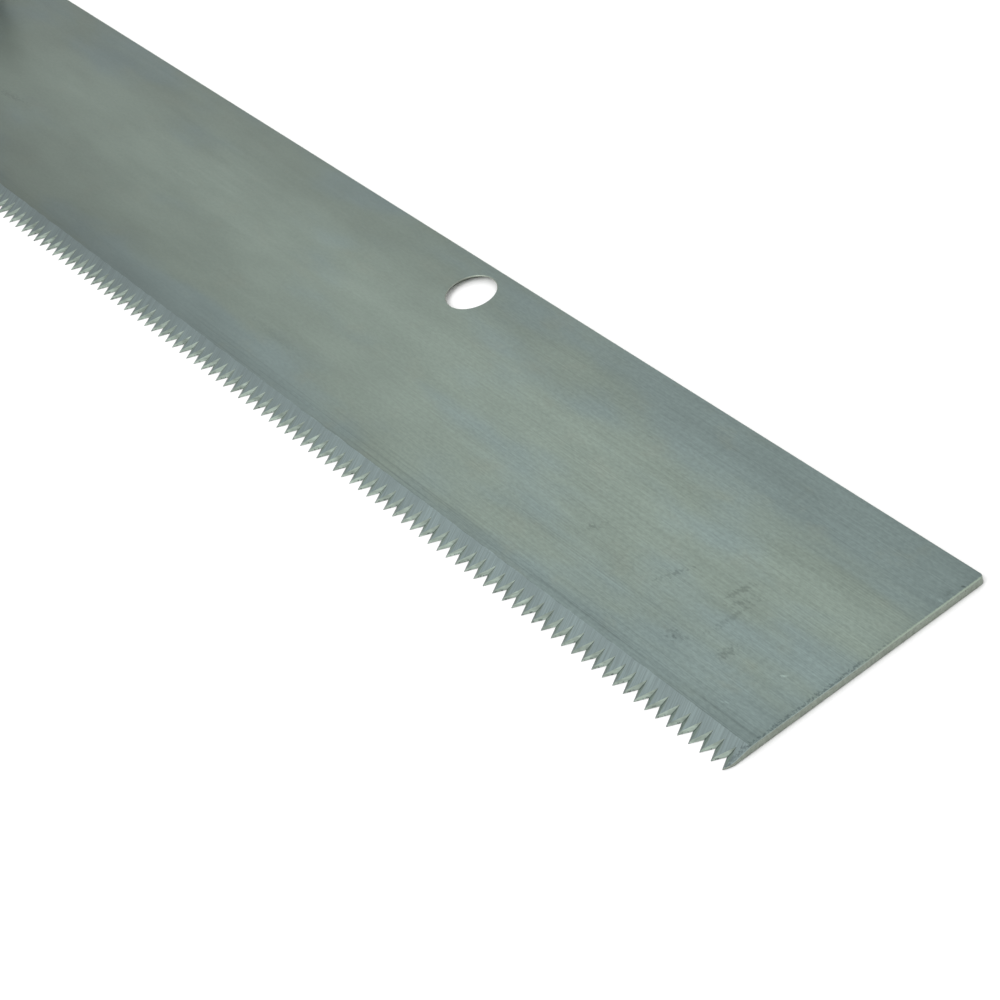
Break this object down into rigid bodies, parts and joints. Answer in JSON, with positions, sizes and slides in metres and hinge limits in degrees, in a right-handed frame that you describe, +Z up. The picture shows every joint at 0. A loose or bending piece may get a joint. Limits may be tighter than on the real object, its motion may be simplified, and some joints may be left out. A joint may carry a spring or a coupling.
{
  "type": "flush cutting trim saw",
  "caption": "Hand saw with a flat parallel blade, teeth ground from one side only, held by a wing-nut clamp under a cranked tang and a turned wooden handle.",
  "frame": {"origin": "on the surface that the saw lies on, under the middle of its bounding box; z = 0 is the underside of the blade", "axes": "+X along the saw to the toe of the blade, +Y from the teeth to the back of the blade, +Z up towards the handle"},
  "size_m": [0.5788, 0.0468, 0.051],
  "materials": {
    "blade_steel": "lengthwise brushed spring steel with a cross-ground strip along the teeth",
    "carrier_enamel": "dark stoved enamel, worn on its edges",
    "zinc_plate": "bright zinc plate",
    "forged_steel": "dark forged steel",
    "rivet_steel": "plain steel",
    "brass": "turned and lightly tarnished",
    "beech": "oiled beech"
  },
  "bodies": {
    "saw": {"blade": "blade_steel", "carrier_plate": "carrier_enamel", "clamp_bolt": "zinc_plate", "tang": "forged_steel", "tang_rivet_1": "rivet_steel", "tang_rivet_2": "rivet_steel", "tang_rivet_3": "rivet_steel", "ferrule": "brass", "ferrule_pin": "rivet_steel", "handle": "beech", "butt_washer": "brass", "butt_nut": "brass"},
    "clamp_washer": {"captive_washer": "zinc_plate"},
    "clamp_nut": {"wing_nut": "zinc_plate"}
  },
  "joints": [
    {"name": "clamp_lift", "type": "slide", "parent": "saw", "child": "clamp_washer", "axis": [0, 0, 1], "range_m": [0, 0.002]},
    {"name": "nut_turn", "type": "hinge", "parent": "clamp_washer", "child": "clamp_nut", "pos_m": [-0.00065, 0.0146, 0.0104], "axis": [0, 0, 1], "range_deg": [0, 720]}
  ],
  "couplings": [
    {"joint": "clamp_lift", "follows": "nut_turn", "m_per_rad": 0.00015915}
  ]
}
